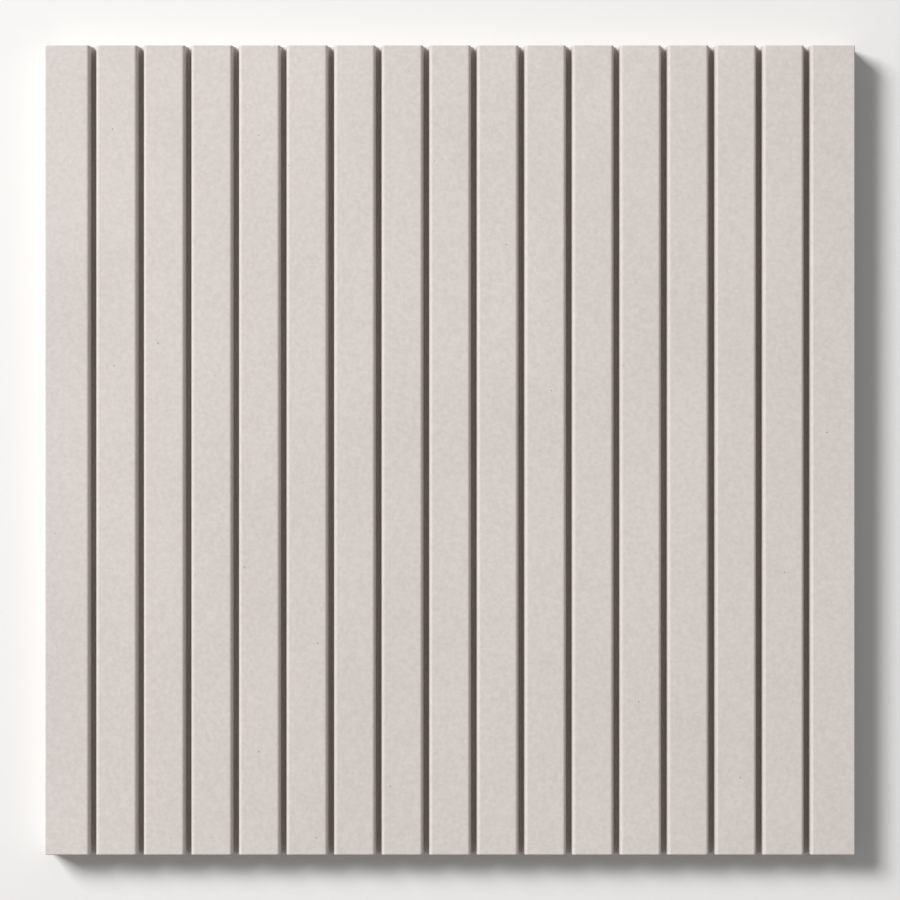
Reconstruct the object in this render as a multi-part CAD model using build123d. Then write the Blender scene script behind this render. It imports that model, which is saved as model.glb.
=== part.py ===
from build123d import *
import math
import os

# A ribbed plaster wall panel, cast as a single piece and lying face up, in millimetres.
# The origin is the centre of the flat back. The ribs run along Y and the face looks along +Z.

# The panel is square, so that it can be laid with its ribs either way
panel_side = 500.0

# From the flat back, struck off level in the mould, to the tops of the ribs
panel_thickness = 24.0

# The ribs share the side equally, so the outer grooves lie one whole rib pitch from the panel's edges
rib_count = 17

# A groove's width where its walls would meet the face without their rounded lips, and its depth
groove_width = 4.6
groove_depth = 12.0

# How far the groove's walls lean back, in degrees, so that the cast leaves its mould
wall_draft = 5.0

# The rounded long edges of the ribs, which are the lips of the grooves
rib_edge_radius = 2.0

# The smaller rounding where the face meets the four sides, which also runs over the ends of the ribs
face_edge_radius = 0.8

# The cutting outline stands this far above the face, so that it leaves no skin
clear_above = 2.0

rib_pitch = panel_side / rib_count
groove_count = rib_count - 1


def groove_outline():
    """A groove's section with the face at height 0: rounded lips, leaning walls and a full-round root."""
    lean = math.radians(wall_draft)
    half_width = groove_width / 2

    # The root is the one arc that touches both walls and reaches the groove's full depth
    root_reach = half_width * math.cos(lean) - groove_depth * math.sin(lean)
    root_radius = root_reach / (1 - math.sin(lean))
    root_centre = (0, root_radius - groove_depth)
    root = CenterArc(root_centre, root_radius, 180 + wall_draft, 180 - 2 * wall_draft)

    # Each lip is an arc inside the rib that touches the face and the wall
    lip_distance = half_width + rib_edge_radius * (1 / math.cos(lean) - math.tan(lean))
    lip_turn = 90 - wall_draft
    left_lip = CenterArc((-lip_distance, -rib_edge_radius), rib_edge_radius, 90, -lip_turn)
    right_lip = CenterArc((lip_distance, -rib_edge_radius), rib_edge_radius, 180 - wall_draft, -lip_turn)

    left_wall = Line(left_lip @ 1, root @ 0)
    right_wall = Line(root @ 1, right_lip @ 0)
    mouth = Polyline(right_lip @ 1, (lip_distance, clear_above), (-lip_distance, clear_above), left_lip @ 0)
    return make_face([left_lip, left_wall, root, right_wall, right_lip, mouth])


def side_outline():
    """The uncut panel seen from any side: a flat back, upright sides and two rounded corners at the face."""
    block = Pos(0, panel_thickness / 2) * Rectangle(panel_side, panel_thickness)
    face_corners = block.vertices().group_by(Axis.Y)[-1]
    return fillet(face_corners, face_edge_radius)


def ribbed_outline():
    """The panel's section across the ribs, with a groove between each rib and the next."""
    at_the_face = Pos(0, panel_thickness)
    groove = groove_outline()
    places = GridLocations(rib_pitch, rib_pitch, groove_count, 1)
    return side_outline() - [at_the_face * place * groove for place in places]


def ribbed_panel():
    """The ribs run out at both ends, where the plain side outline rounds them over."""
    ribs = extrude(Plane.XZ * ribbed_outline(), panel_side / 2, both=True)
    rounded_ends = extrude(Plane.YZ * side_outline(), panel_side / 2, both=True)
    return ribs & rounded_ends


os.makedirs("parts", exist_ok=True)
export_step(ribbed_panel(), "parts/ribbed_panel.step")
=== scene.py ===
# %% [markdown]
# # A ribbed plaster wall panel
#
# The real object is one square of gypsum plaster. It is poured face down into a rubber mould, struck off
# level, and turned out when it has set. Its face is a row of flat ribs with narrow, deep grooves between
# them. All that the eye reads on it comes from those grooves, from the rounded edges beside them and from a
# dry, chalky skin, so this lesson spends its effort there: an exact section, a sweep, a plaster, and one
# soft light from the side.
#
# The first cell loads the panel as it was engineered. Its box gives the side and the thickness, so the
# dressed panel can't drift away from the real size.

# %% Load the engineered panel and measure it
import math

import bmesh
import bpy
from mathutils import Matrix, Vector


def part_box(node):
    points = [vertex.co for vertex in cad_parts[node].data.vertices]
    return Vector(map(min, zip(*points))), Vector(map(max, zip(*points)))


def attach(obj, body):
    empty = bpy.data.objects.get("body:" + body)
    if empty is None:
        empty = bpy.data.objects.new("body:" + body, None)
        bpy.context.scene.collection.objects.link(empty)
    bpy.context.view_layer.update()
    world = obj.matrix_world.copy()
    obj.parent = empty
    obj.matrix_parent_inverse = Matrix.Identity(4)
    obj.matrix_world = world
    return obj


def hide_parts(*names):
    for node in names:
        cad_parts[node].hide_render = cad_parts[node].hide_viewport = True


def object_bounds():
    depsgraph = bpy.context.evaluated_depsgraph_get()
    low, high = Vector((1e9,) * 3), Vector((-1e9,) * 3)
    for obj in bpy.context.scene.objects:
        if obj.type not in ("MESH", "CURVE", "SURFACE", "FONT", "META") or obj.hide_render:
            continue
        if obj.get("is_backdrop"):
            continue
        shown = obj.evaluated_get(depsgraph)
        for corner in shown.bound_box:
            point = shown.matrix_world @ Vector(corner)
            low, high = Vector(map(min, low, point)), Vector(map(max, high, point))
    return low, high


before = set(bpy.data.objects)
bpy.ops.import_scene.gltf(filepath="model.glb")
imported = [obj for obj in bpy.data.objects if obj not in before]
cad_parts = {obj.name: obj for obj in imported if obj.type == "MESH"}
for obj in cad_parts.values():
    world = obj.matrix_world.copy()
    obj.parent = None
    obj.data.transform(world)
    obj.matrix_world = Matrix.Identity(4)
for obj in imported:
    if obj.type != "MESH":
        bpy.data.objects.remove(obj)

scene = bpy.context.scene
solid_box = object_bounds()
low_corner, high_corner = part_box("ribbed_panel")
side = high_corner.x - low_corner.x
thickness = high_corner.z - low_corner.z
print(f"panel: side {side * 1000:.1f} mm, thickness {thickness * 1000:.1f} mm")

# %% [markdown]
# ## Three small helpers
#
# A node tree that is built in a script is a long list of the same three acts: add a node, set its options,
# join its sockets. One function does all three, so that each line below reads as one step of the recipe.
# Another does the last act alone, for a node that is there already. The third turns the colours, which
# people pick as they see them on a screen, into the linear light that a renderer adds up.

# %% Helpers for nodes and colours
def feed(tree, node, inputs):
    """Gives each input of a node its plain value, or links it to the socket that it is given."""
    for name, value in inputs.items():
        if isinstance(value, bpy.types.NodeSocket):
            tree.links.new(value, node.inputs[name])
        else:
            node.inputs[name].default_value = value


def add_node(tree, kind, inputs=None, **settings):
    """Adds a node to a tree, sets its options and feeds its inputs."""
    node = tree.nodes.new(kind)
    for name, value in settings.items():
        setattr(node, name, value)
    feed(tree, node, inputs or {})
    return node


def linear_colour(hex_code):
    """An sRGB colour such as #D3CCC7 as linear red, green, blue and alpha."""
    channels = [int(hex_code[i:i + 2], 16) / 255 for i in (1, 3, 5)]
    return [c / 12.92 if c <= 0.04045 else ((c + 0.055) / 1.055) ** 2.4 for c in channels] + [1.0]


MM = 0.001
print("a middle grey on screen is this in linear light:", round(linear_colour("#808080")[0], 3))

# %% [markdown]
# ## The sizes of the ribs
#
# These are the panel's own casting sizes. The ribs share the side equally, and the grooves are narrow slots
# whose walls lean back by a few degrees, because a plaster cast has to slide off the fins of its mould. No
# edge of a cast is razor sharp: the long edges of the ribs are rounded by two millimetres, the rim of the
# face by less, and the corners that only handling softens by less again.

# %% Casting sizes
rib_count = 17
groove_width = 4.6 * MM
groove_depth = 12.0 * MM
wall_draft = math.radians(5.0)
rib_edge_radius = 2.0 * MM
face_edge_radius = 0.8 * MM
handled_edge_radius = 0.3 * MM
arc_steps = 8  # the short flat steps that make each rounded corner
print(f"rib pitch {side / rib_count / MM:.2f} mm")

# %% [markdown]
# ## Gypsum plaster, cast against rubber
#
# Gypsum plaster dries to a matt, slightly porous stone. Light goes a little way in between its crystals and
# comes out in all directions, so it has almost no gloss and hardly any highlight, even where it curves. A
# photograph could be projected on it, but it would show one lighting for ever; a few noise patterns give
# the same surface from any side.
#
# Its colour is a warm, chalky off-white with two faint patterns in it. Broad clouds come from uneven
# drying. Small specks are grains that took up a little more or less water.

# %% Plaster: colour
plaster = bpy.data.materials.new("cast_gypsum_plaster")
plaster.use_nodes = True
plaster_tree = plaster.node_tree
plaster_tree.nodes.clear()
place = add_node(plaster_tree, "ShaderNodeTexCoord").outputs["Object"]

# One period of a noise pattern is about one unit of its coordinate, so its scale is 1 over the real size
cloud_size = 90 * MM
speck_size = 2.5 * MM
clouds = add_node(plaster_tree, "ShaderNodeTexNoise",
                  {"Vector": place, "Scale": 1 / cloud_size, "Detail": 3.0, "Roughness": 0.5}).outputs[0]
specks = add_node(plaster_tree, "ShaderNodeTexNoise",
                  {"Vector": place, "Scale": 1 / speck_size, "Detail": 4.0, "Roughness": 0.6}).outputs[0]

# Nearly all values of a noise pattern lie in this span
noise_span = {"From Min": 0.3, "From Max": 0.7}
cloud_share = add_node(plaster_tree, "ShaderNodeMapRange", {"Value": clouds, **noise_span}).outputs[0]
speck_share = add_node(plaster_tree, "ShaderNodeMapRange", {"Value": specks, **noise_span}).outputs[0]

dull_plaster = linear_colour("#D3CCC7")
clear_plaster = linear_colour("#D7D0CB")
speck_shade = linear_colour("#F3F2F1")
cloudy = add_node(plaster_tree, "ShaderNodeMix", {"Factor": cloud_share, 6: dull_plaster, 7: clear_plaster},
                  data_type="RGBA").outputs[2]
speckled = add_node(plaster_tree, "ShaderNodeMix", {"Factor": speck_share, 6: cloudy, 7: speck_shade},
                    data_type="RGBA", blend_type="MULTIPLY").outputs[2]
print("clouds", cloud_size / MM, "mm and specks", speck_size / MM, "mm across")

# %% [markdown]
# ## Pinholes, and the back that was struck off
#
# Stirring folds air into the plaster. The bubbles that end up against the mould leave pinholes up to a
# millimetre across, and most of them rise to the open side of the mould, which becomes the back. That side
# is levelled with a straightedge, which drags faint lines through the setting plaster.
#
# Both are too small for the mesh, so they are heights in the shader. A Voronoi pattern fills the solid with
# cells and gives each a middle and a number. A bubble sits at the middle of the few cells with the highest
# numbers, and shows as a hole where the surface cuts it. The lines are a noise that is stretched along the
# way the straightedge went.

# %% Plaster: pinholes
# Only the back, and a hairline round its rim, lie within this height of the floor
back_skin = 0.25 * MM
height = add_node(plaster_tree, "ShaderNodeSeparateXYZ", {0: place}).outputs["Z"]
on_back = add_node(plaster_tree, "ShaderNodeMath", {0: height, 1: back_skin},
                   operation="LESS_THAN").outputs[0]

bubble_spacing = 9 * MM
bubble_radius = 0.45 * MM
bubble_share = {"face": 0.14, "back": 0.45}
flat_share = 0.4  # of a hole's radius
cells = add_node(plaster_tree, "ShaderNodeTexVoronoi",
                 {"Vector": place, "Scale": 1 / bubble_spacing, "Randomness": 1.0})
cell_number = add_node(plaster_tree, "ShaderNodeSeparateColor", {0: cells.outputs["Color"]}).outputs[0]
least_number = add_node(plaster_tree, "ShaderNodeMapRange",
                        {"Value": on_back, "To Min": 1 - bubble_share["face"],
                         "To Max": 1 - bubble_share["back"]}).outputs[0]
has_bubble = add_node(plaster_tree, "ShaderNodeMath", {0: cell_number, 1: least_number},
                      operation="GREATER_THAN").outputs[0]
bubble_edge = bubble_radius / bubble_spacing
bubble_shape = add_node(plaster_tree, "ShaderNodeMapRange",
                        {"Value": cells.outputs["Distance"], "From Min": flat_share * bubble_edge,
                         "From Max": bubble_edge, "To Min": 1.0, "To Max": 0.0},
                        interpolation_type="SMOOTHSTEP").outputs[0]
bubbles = add_node(plaster_tree, "ShaderNodeMath", {0: has_bubble, 1: bubble_shape},
                   operation="MULTIPLY").outputs[0]
for name, share in bubble_share.items():
    hole_count = share * side ** 2 * 2 * bubble_radius / bubble_spacing ** 3
    print(f"about {hole_count:.0f} pinholes on the {name}")

# %% Plaster: grain and drag lines
# Gypsum's crystals are a few hundredths of a millimetre long, far too fine to show, so the unevenness that
# they give the skin is drawn this coarse
grain_size = 1.2 * MM
grain = add_node(plaster_tree, "ShaderNodeTexNoise",
                 {"Vector": place, "Scale": 1 / grain_size, "Detail": 3.0, "Roughness": 0.6}).outputs[0]

drag_length = 160 * MM
drag_width = 2.2 * MM
along_the_drag = add_node(plaster_tree, "ShaderNodeVectorMath",
                          {0: place, 1: (1 / drag_length, 1 / drag_width, 0.0)},
                          operation="MULTIPLY").outputs[0]
streaks = add_node(plaster_tree, "ShaderNodeTexNoise",
                   {"Vector": along_the_drag, "Scale": 1.0, "Detail": 3.0, "Roughness": 0.55}).outputs[0]
drag_lines = add_node(plaster_tree, "ShaderNodeMath", {0: streaks, 1: on_back},
                      operation="MULTIPLY").outputs[0]
print("grain", grain_size / MM, "mm, drag lines", drag_width / MM, "mm wide")

# %% [markdown]
# ## The skin
#
# The patterns meet in the shader. Grain, drag lines and pinholes each become a bump, which changes the way
# the skin faces the light and moves nothing. They are chained: each starts from the direction that the one
# before it left. Nearly all the light that plaster sends back is diffuse, so the roughness is high and the
# gloss is low.

# %% Plaster: the surface
# Heights are in metres, so each bump is as deep as its real relief
grain_relief = 0.02 * MM
drag_relief = 0.35 * MM
bubble_depth = 0.35 * MM
grained = add_node(plaster_tree, "ShaderNodeBump",
                   {"Height": grain, "Distance": grain_relief, "Strength": 1.0}).outputs[0]
dragged = add_node(plaster_tree, "ShaderNodeBump",
                   {"Height": drag_lines, "Distance": drag_relief, "Strength": 1.0,
                    "Normal": grained}).outputs[0]
pitted = add_node(plaster_tree, "ShaderNodeBump",
                  {"Height": bubbles, "Distance": bubble_depth, "Strength": 1.0, "Normal": dragged},
                  invert=True).outputs[0]

# Each pinhole is darkened with painted shade, for the light that doesn't come back out of a hole, and the
# skin's dustier specks are rougher
painted_hole_shade = linear_colour("#A0978F")
with_painted_hole_shade = add_node(plaster_tree, "ShaderNodeMix", {"Factor": bubbles, 6: speckled, 7: painted_hole_shade},
                 data_type="RGBA").outputs[2]
closed_skin, dusty_skin = 0.84, 0.95
skin_roughness = add_node(plaster_tree, "ShaderNodeMapRange",
                          {"Value": specks, **noise_span, "To Min": closed_skin,
                           "To Max": dusty_skin}).outputs[0]

# Gypsum's own refractive index, little gloss, and a touch of diffuse roughness for the dusty skin
gypsum_index = 1.52
surface = add_node(plaster_tree, "ShaderNodeBsdfPrincipled",
                   {"Base Color": with_painted_hole_shade, "Roughness": skin_roughness, "IOR": gypsum_index,
                    "Diffuse Roughness": 0.1, "Specular IOR Level": 0.35, "Normal": pitted}).outputs[0]
add_node(plaster_tree, "ShaderNodeOutputMaterial", {"Surface": surface})
print("plaster has", len(plaster_tree.nodes), "nodes")

# %% [markdown]
# ## The ribbed face as a rule
#
# Ribs could be modelled one by one, or cut from a slab with boolean tools, but booleans leave ragged faces
# that shade badly along the small rounded edges. The face follows a rule, so Geometry Nodes can grow it:
# draw the outline of the panel's section once, with a groove repeated along it, round its corners, and
# sweep it along the ribs. Every size is a named input of the tree, so the same tree makes a panel with
# other ribs.

# %% Start the tree and name its inputs
panel_tree = bpy.data.node_groups.new("ribbed_cast_panel", "GeometryNodeTree")
panel_inputs = {
    "Side": ("NodeSocketFloat", side),
    "Thickness": ("NodeSocketFloat", thickness),
    "Ribs": ("NodeSocketInt", rib_count),
    "Groove Width": ("NodeSocketFloat", groove_width),
    "Groove Depth": ("NodeSocketFloat", groove_depth),
    "Wall Draft": ("NodeSocketFloat", wall_draft),
    "Rib Edge Radius": ("NodeSocketFloat", rib_edge_radius),
    "Face Edge Radius": ("NodeSocketFloat", face_edge_radius),
    "Handled Edge Radius": ("NodeSocketFloat", handled_edge_radius),
    "Arc Steps": ("NodeSocketInt", arc_steps),
    "Plaster": ("NodeSocketMaterial", plaster),
}
for name, (socket_type, value) in panel_inputs.items():
    panel_tree.interface.new_socket(name, in_out="INPUT", socket_type=socket_type)
panel_tree.interface.new_socket("Panel", in_out="OUTPUT", socket_type="NodeSocketGeometry")
size_of = add_node(panel_tree, "NodeGroupInput").outputs
print("inputs:", ", ".join(panel_inputs))

# %% Work out the other sizes inside the tree
pitch = add_node(panel_tree, "ShaderNodeMath", {0: size_of["Side"], 1: size_of["Ribs"]},
                 operation="DIVIDE").outputs[0]
half_pitch = add_node(panel_tree, "ShaderNodeMath", {0: pitch, 1: 0.5}, operation="MULTIPLY").outputs[0]
half_side = add_node(panel_tree, "ShaderNodeMath", {0: size_of["Side"], 1: 0.5},
                     operation="MULTIPLY").outputs[0]
half_mouth = add_node(panel_tree, "ShaderNodeMath", {0: size_of["Groove Width"], 1: 0.5},
                      operation="MULTIPLY").outputs[0]
groove_floor = add_node(panel_tree, "ShaderNodeMath", {0: size_of["Groove Depth"], 1: -1.0},
                        operation="MULTIPLY").outputs[0]

# The leaning walls narrow the groove towards its floor
lean = add_node(panel_tree, "ShaderNodeMath", {0: size_of["Wall Draft"]}, operation="TANGENT").outputs[0]
half_floor = add_node(panel_tree, "ShaderNodeMath", {0: groove_floor, 1: lean, 2: half_mouth},
                      operation="MULTIPLY_ADD").outputs[0]

# The arc that touches both walls and the floor: its radius is half the floor times cos / (1 - sin) of the
# draft
draft_cosine = add_node(panel_tree, "ShaderNodeMath", {0: size_of["Wall Draft"]},
                        operation="COSINE").outputs[0]
draft_sine = add_node(panel_tree, "ShaderNodeMath", {0: size_of["Wall Draft"]}, operation="SINE").outputs[0]
sine_rest = add_node(panel_tree, "ShaderNodeMath", {0: 1.0, 1: draft_sine}, operation="SUBTRACT").outputs[0]
radius_share = add_node(panel_tree, "ShaderNodeMath", {0: draft_cosine, 1: sine_rest},
                        operation="DIVIDE").outputs[0]
root_radius = add_node(panel_tree, "ShaderNodeMath", {0: half_floor, 1: radius_share},
                       operation="MULTIPLY").outputs[0]
print("sizes worked out with", len(panel_tree.nodes) - 1, "nodes")

# %% [markdown]
# ## One groove, and the rest of the outline
#
# The section is drawn as straight lines first. A groove needs only two corners on each side of its middle:
# one at the floor and one where its wall would meet the face. Half a rib beyond them makes it a bay that
# can be set end to end with the next one. The rest of the outline goes from the middle of the back out to a
# corner and up to the last bay. Both are the same on the left and on the right, so one function draws a
# right half and joins its mirror image. Each corner also carries the radius that will round it later.

# %% Draw the bay and the back
index = add_node(panel_tree, "GeometryNodeInputIndex").outputs[0]


def mirrored_line(corners):
    """Draws edges through corners, each (across, up, radius), and joins their mirror image to them."""
    columns = []
    for values in zip(*corners):
        chosen = add_node(panel_tree, "GeometryNodeIndexSwitch", {"Index": index}, data_type="FLOAT")
        for _ in values[2:]:  # a new switch has places for two
            chosen.index_switch_items.new()
        feed(panel_tree, chosen, dict(enumerate(values, start=1)))
        columns.append(chosen.outputs[0])
    across, up, radius = columns
    corner = add_node(panel_tree, "ShaderNodeCombineXYZ", {"X": across, "Z": up}).outputs[0]
    line = add_node(panel_tree, "GeometryNodeMeshLine", {"Count": len(corners)}).outputs[0]
    placed = add_node(panel_tree, "GeometryNodeSetPosition",
                      {"Geometry": line, "Position": corner}).outputs[0]
    right = add_node(panel_tree, "GeometryNodeStoreNamedAttribute",
                     {"Geometry": placed, "Name": "corner radius", "Value": radius},
                     data_type="FLOAT").outputs[0]
    left = add_node(panel_tree, "GeometryNodeTransform",
                    {"Geometry": right, "Scale": (-1.0, 1.0, 1.0)}).outputs[0]
    both = add_node(panel_tree, "GeometryNodeJoinGeometry", {"Geometry": right})
    feed(panel_tree, both, {"Geometry": left})
    return both.outputs[0]


last_bay_end = add_node(panel_tree, "ShaderNodeMath", {0: half_side, 1: half_pitch},
                        operation="SUBTRACT").outputs[0]
bay = mirrored_line([
    (0.0, groove_floor, 0.0),
    (half_floor, groove_floor, root_radius),
    (half_mouth, 0.0, size_of["Rib Edge Radius"]),
    (half_pitch, 0.0, 0.0),
])
back = mirrored_line([
    (0.0, 0.0, 0.0),
    (half_side, 0.0, size_of["Handled Edge Radius"]),
    (half_side, size_of["Thickness"], size_of["Face Edge Radius"]),
    (last_bay_end, size_of["Thickness"], 0.0),
])
print("drawn: one bay and the back, 4 corners each and their mirror images")

# %% [markdown]
# ## The whole section
#
# Instances put a copy of the bay at each groove. Merging the points that now lie on each other joins the
# bays and the back to one closed outline, and a single fillet rounds every corner by its own radius. At the
# floor of a groove it uses up the whole straight piece, which leaves one full round, as the fin of a rubber
# mould has.

# %% Repeat the bay, close the outline and round it
groove_count = add_node(panel_tree, "ShaderNodeMath", {0: size_of["Ribs"], 1: 1.0},
                        operation="SUBTRACT").outputs[0]
first_groove = add_node(panel_tree, "ShaderNodeMath", {0: pitch, 1: half_side},
                        operation="SUBTRACT").outputs[0]
groove_start = add_node(panel_tree, "ShaderNodeCombineXYZ",
                        {"X": first_groove, "Z": size_of["Thickness"]}).outputs[0]
groove_step = add_node(panel_tree, "ShaderNodeCombineXYZ", {"X": pitch}).outputs[0]
groove_places = add_node(panel_tree, "GeometryNodeMeshLine",
                         {"Count": groove_count, "Start Location": groove_start,
                          "Offset": groove_step}).outputs[0]
bays = add_node(panel_tree, "GeometryNodeInstanceOnPoints",
                {"Points": groove_places, "Instance": bay}).outputs[0]
face = add_node(panel_tree, "GeometryNodeRealizeInstances", {"Geometry": bays}).outputs[0]

join_distance = 0.01 * MM
pieces = add_node(panel_tree, "GeometryNodeJoinGeometry", {"Geometry": face})
feed(panel_tree, pieces, {"Geometry": back})
closed_line = add_node(panel_tree, "GeometryNodeMergeByDistance",
                       {"Geometry": pieces.outputs[0], "Distance": join_distance}).outputs[0]
sharp_outline = add_node(panel_tree, "GeometryNodeMeshToCurve", {"Mesh": closed_line}).outputs[0]
corner_radius = add_node(panel_tree, "GeometryNodeInputNamedAttribute", {"Name": "corner radius"},
                         data_type="FLOAT").outputs[0]
outline = add_node(panel_tree, "GeometryNodeFilletCurve",
                   {"Curve": sharp_outline, "Count": size_of["Arc Steps"], "Radius": corner_radius,
                    "Limit Radius": True}, mode="POLY").outputs[0]
print("outline tree has", len(panel_tree.nodes), "nodes")

# %% [markdown]
# ## The sweep, and the ends of the ribs
#
# A plain sweep would end in a knife edge where the ribs run out. On the cast that edge is rounded too, so
# the sweep gets a few extra rings at each end. Ring by ring the outline sinks into the panel, against its
# own outward direction, while it moves out by less and less: a quarter circle, rolled round the whole
# outline. Its radius is the face's own on top of the ribs, and the smaller handled radius on everything
# below, such as the mouths of the grooves.

# %% Measure the outline, point by point
outline_point = add_node(panel_tree, "GeometryNodeInputPosition").outputs[0]
along_outline = add_node(panel_tree, "GeometryNodeInputTangent").outputs[0]
outward = add_node(panel_tree, "ShaderNodeVectorMath", {0: along_outline, 1: (0.0, 1.0, 0.0)},
                   operation="CROSS_PRODUCT").outputs[0]
point_height = add_node(panel_tree, "ShaderNodeSeparateXYZ", {0: outline_point}).outputs["Z"]
below_face = add_node(panel_tree, "ShaderNodeMath", {0: size_of["Thickness"], 1: point_height},
                      operation="SUBTRACT").outputs[0]
end_radius = add_node(panel_tree, "ShaderNodeMapRange",
                      {"Value": below_face, "From Max": size_of["Rib Edge Radius"],
                       "To Min": size_of["Face Edge Radius"], "To Max": size_of["Handled Edge Radius"]},
                      interpolation_type="SMOOTHSTEP").outputs[0]
measured = add_node(panel_tree, "GeometryNodeCaptureAttribute", {"Geometry": outline})
for socket_type, name, socket in (("VECTOR", "place", outline_point), ("VECTOR", "outward", outward),
                                  ("FLOAT", "end radius", end_radius)):
    measured.capture_items.new(socket_type, name)
    feed(panel_tree, measured, {name: socket})
print("captured:", [item.name for item in measured.capture_items])

# %% Sweep it through rings
# The rings are numbered from end to end: the first half go round one end, and the others round the other.
# Their spacing here only gives the sweep its direction, because each ring gets its own place later
ring_spacing = 1 * MM
ring_half = add_node(panel_tree, "ShaderNodeMath", {0: size_of["Arc Steps"], 1: 1.0},
                     operation="ADD").outputs[0]
ring_count = add_node(panel_tree, "ShaderNodeMath", {0: ring_half, 1: 2.0}, operation="MULTIPLY").outputs[0]
ring_line = add_node(panel_tree, "GeometryNodeMeshLine",
                     {"Count": ring_count, "Offset": (0.0, ring_spacing, 0.0)}).outputs[0]
rings = add_node(panel_tree, "GeometryNodeMeshToCurve", {"Mesh": ring_line}).outputs[0]
ring_middle = add_node(panel_tree, "ShaderNodeMath", {0: ring_half, 1: 0.5},
                       operation="SUBTRACT").outputs[0]
from_middle = add_node(panel_tree, "ShaderNodeMath", {0: index, 1: ring_middle},
                       operation="SUBTRACT").outputs[0]
which_end = add_node(panel_tree, "ShaderNodeMath", {0: from_middle}, operation="SIGN").outputs[0]
ring_distance = add_node(panel_tree, "ShaderNodeMath", {0: from_middle}, operation="ABSOLUTE").outputs[0]

# The two innermost rings are half a step from the middle, and the two outermost are in the end faces
quarter_turn = math.pi / 2
roll = add_node(panel_tree, "ShaderNodeMapRange",
                {"Value": ring_distance, "From Min": 0.5, "From Max": ring_middle,
                 "To Max": quarter_turn}).outputs[0]
numbered = add_node(panel_tree, "GeometryNodeCaptureAttribute", {"Geometry": rings})
for name, socket in (("end", which_end), ("roll", roll)):
    numbered.capture_items.new("FLOAT", name)
    feed(panel_tree, numbered, {name: socket})
swept = add_node(panel_tree, "GeometryNodeCurveToMesh",
                 {"Curve": numbered.outputs["Geometry"], "Profile Curve": measured.outputs["Geometry"],
                  "Fill Caps": True}).outputs[0]
print("rings at each end:", arc_steps + 1)

# %% Roll the ends over
# At a roll of 0 a ring is the full outline; at a quarter turn it lies in the end face
roll_cosine = add_node(panel_tree, "ShaderNodeMath", {0: numbered.outputs["roll"]},
                       operation="COSINE").outputs[0]
roll_sine = add_node(panel_tree, "ShaderNodeMath", {0: numbered.outputs["roll"]},
                     operation="SINE").outputs[0]
sink_share = add_node(panel_tree, "ShaderNodeMath", {0: roll_cosine, 1: 1.0},
                      operation="SUBTRACT").outputs[0]
reach_share = add_node(panel_tree, "ShaderNodeMath", {0: roll_sine, 1: 1.0},
                       operation="SUBTRACT").outputs[0]
sink = add_node(panel_tree, "ShaderNodeMath", {0: measured.outputs["end radius"], 1: sink_share},
                operation="MULTIPLY").outputs[0]
reach = add_node(panel_tree, "ShaderNodeMath",
                 {0: measured.outputs["end radius"], 1: reach_share, 2: half_side},
                 operation="MULTIPLY_ADD").outputs[0]
signed_reach = add_node(panel_tree, "ShaderNodeMath", {0: reach, 1: numbered.outputs["end"]},
                        operation="MULTIPLY").outputs[0]
along_ribs = add_node(panel_tree, "ShaderNodeCombineXYZ", {"Y": signed_reach}).outputs[0]
in_section = add_node(panel_tree, "ShaderNodeVectorMath",
                      {0: measured.outputs["outward"], 1: sink, 2: measured.outputs["place"]},
                      operation="MULTIPLY_ADD").outputs[0]
rolled_point = add_node(panel_tree, "ShaderNodeVectorMath", {0: in_section, 1: along_ribs},
                        operation="ADD").outputs[0]
shaped = add_node(panel_tree, "GeometryNodeSetPosition",
                  {"Geometry": swept, "Position": rolled_point}).outputs[0]

# Where two fillets meet at the floor of a groove they leave points in one place, which are welded here
weld_distance = 0.002 * MM
welded = add_node(panel_tree, "GeometryNodeMergeByDistance",
                  {"Geometry": shaped, "Distance": weld_distance}).outputs[0]
print("sweep tree has", len(panel_tree.nodes), "nodes")

# %% [markdown]
# ## Shading and material
#
# The arcs are made of short flat steps, which smooth shading blends to a curve. Every corner of this panel
# is rounded, so all of it is smooth. The tree may be given other sizes, though, such as a radius of nothing,
# and then an edge that turns by much more than a step of an arc gets a crease. An exported file holds faces,
# not rules, so the tree ends by making sure that no instance is left, and gives the faces their plaster.

# %% Shade it, realise it and give it its plaster
# A step of an arc turns by about eleven degrees
crease = math.radians(32)
edge_turn = add_node(panel_tree, "GeometryNodeInputMeshEdgeAngle").outputs["Unsigned Angle"]
is_soft = add_node(panel_tree, "FunctionNodeCompare", {0: edge_turn, 1: crease},
                   operation="LESS_THAN").outputs[0]
smooth_faces = add_node(panel_tree, "GeometryNodeSetShadeSmooth",
                        {"Geometry": welded, "Shade Smooth": True}, domain="FACE").outputs[0]
shaded = add_node(panel_tree, "GeometryNodeSetShadeSmooth",
                  {"Geometry": smooth_faces, "Shade Smooth": is_soft}, domain="EDGE").outputs[0]
realised = add_node(panel_tree, "GeometryNodeRealizeInstances", {"Geometry": shaded}).outputs[0]
finished = add_node(panel_tree, "GeometryNodeSetMaterial",
                    {"Geometry": realised, "Material": size_of["Plaster"]}).outputs[0]
add_node(panel_tree, "NodeGroupOutput", {"Panel": finished})
print("whole tree has", len(panel_tree.nodes), "nodes")

# %% [markdown]
# ## From tree to mesh
#
# The tree now runs on an empty mesh. A Weighted Normal modifier after it lets each large flat face keep its
# own direction, so that only the rounded edges turn the light; without it the flat ribs would look slightly
# pillowed. The result is read back as a plain mesh and tested: a cast is one closed skin with its faces
# outwards, so its volume has to come out positive and near the solid's.

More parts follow.
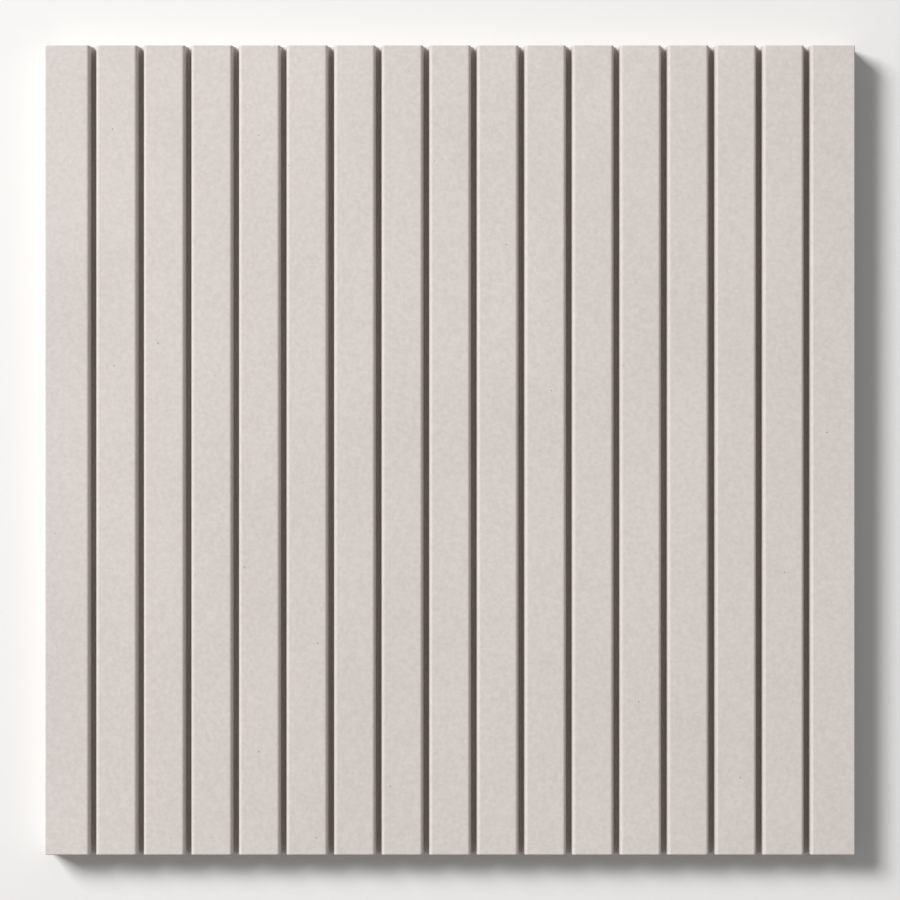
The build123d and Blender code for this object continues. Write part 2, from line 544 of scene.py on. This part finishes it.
# %% Run the tree and keep the mesh
grower = bpy.data.objects.new("panel_grower", bpy.data.meshes.new("empty"))
scene.collection.objects.link(grower)
grow_ribs = grower.modifiers.new("grow_ribs", "NODES")
grow_ribs.node_group = panel_tree
for item in panel_tree.interface.items_tree:
    if item.in_out == "INPUT":
        grow_ribs[item.identifier] = panel_inputs[item.name][1]
keep_flats = grower.modifiers.new("keep_flats_flat", "WEIGHTED_NORMAL")
keep_flats.keep_sharp = True
keep_flats.weight = 100  # the most that a large face can count for

grown = grower.evaluated_get(bpy.context.evaluated_depsgraph_get())
panel_mesh = bpy.data.meshes.new_from_object(grown)
panel_mesh.name = "cast_panel"
cast_panel = bpy.data.objects.new("cast_panel", panel_mesh)
scene.collection.objects.link(cast_panel)
bpy.data.objects.remove(grower)

skin = bmesh.new()
skin.from_mesh(panel_mesh)
open_edges = sum(not edge.is_manifold for edge in skin.edges)
litres = skin.calc_volume(signed=True) * 1000
print(f"cast panel: {len(skin.faces)} faces, {open_edges} open edges, {litres:.3f} litres")
skin.free()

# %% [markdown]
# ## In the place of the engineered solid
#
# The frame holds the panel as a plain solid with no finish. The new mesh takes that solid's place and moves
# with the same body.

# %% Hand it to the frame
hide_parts("ribbed_panel")
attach(cast_panel, "root")
print("cast_panel stands in for ribbed_panel")

# %% [markdown]
# ## Floor, light and camera
#
# The panel lies on a pale floor and the camera looks straight down on it through a long lens, so that the
# grooves look alike from one side of the panel to the other. One large soft light stands to the upper left.
# It is low enough for each groove to have a shaded lip and a lit one, and high enough not to burn out the
# sides that face it. The rest comes from a plain white surrounding.

# %% Floor
# Matt paint, rolled on: it takes soft shadows and mirrors nothing
floor_reach = 6.0
floor_mesh = bpy.data.meshes.new("floor")
floor_mesh.from_pydata([(-floor_reach, -floor_reach, 0), (floor_reach, -floor_reach, 0),
                        (floor_reach, floor_reach, 0), (-floor_reach, floor_reach, 0)], [], [(0, 1, 2, 3)])
floor = bpy.data.objects.new("floor", floor_mesh)
scene.collection.objects.link(floor)
floor_paint = bpy.data.materials.new("matt_floor_paint")
floor_paint.use_nodes = True
feed(floor_paint.node_tree, floor_paint.node_tree.nodes["Principled BSDF"],
     {"Base Color": linear_colour("#E5E4E2"), "Roughness": 0.9})
floor_mesh.materials.append(floor_paint)
floor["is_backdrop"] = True
print("floor", 2 * floor_reach, "m square")

# %% Soft light from the upper left
softbox = bpy.data.lights.new("softbox", "AREA")
softbox.shape = "SQUARE"
softbox.size = 2.2  # metres
softbox.energy = 400.0  # watts
softbox_stand = bpy.data.objects.new("softbox", softbox)
softbox_stand.location = (-3.5, 2.45, 4.0)
softbox_stand.rotation_euler = (-softbox_stand.location).to_track_quat("-Z", "Y").to_euler()
scene.collection.objects.link(softbox_stand)

# The light from all round fills the grooves: less of it makes them darker
room_strength = 0.285
surroundings = bpy.data.worlds.new("white_room")
surroundings.use_nodes = True
feed(surroundings.node_tree, surroundings.node_tree.nodes["Background"],
     {"Color": linear_colour("#FFFFFF"), "Strength": room_strength})
scene.world = surroundings
scene.view_settings.view_transform = "Standard"
light_height = math.degrees(math.asin(softbox_stand.location.normalized().z))
print("the light stands", round(light_height), "degrees above the floor")

# %% Camera
# The lens and the sensor are in millimetres, so their ratio turns the width of the view into a distance
lens = 150.0
sensor = 36.0
panel_share_of_frame = 0.90
camera_distance = side / panel_share_of_frame * lens / sensor
camera_data = bpy.data.cameras.new("camera")
camera_data.lens = lens
camera_data.sensor_width = sensor
camera = bpy.data.objects.new("camera", camera_data)
camera.location = (0.0, 0.0, thickness + camera_distance)
scene.collection.objects.link(camera)
scene.camera = camera
print("camera height", round(camera.location.z, 3), "m")

# %% [markdown]
# ## The size, once more
#
# A dressed piece has to fit the space of the piece that it stands in for, or it would cut into whatever is
# beside it. The largest difference between the two boxes is printed, and here it should be nothing.

# %% Check the size and finish
dressed_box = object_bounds()
shifts = [abs(a - b) for solid, dressed in zip(solid_box, dressed_box) for a, b in zip(solid, dressed)]
print(f"the dressed box is within {max(shifts) / MM:.3f} mm of the solid's")
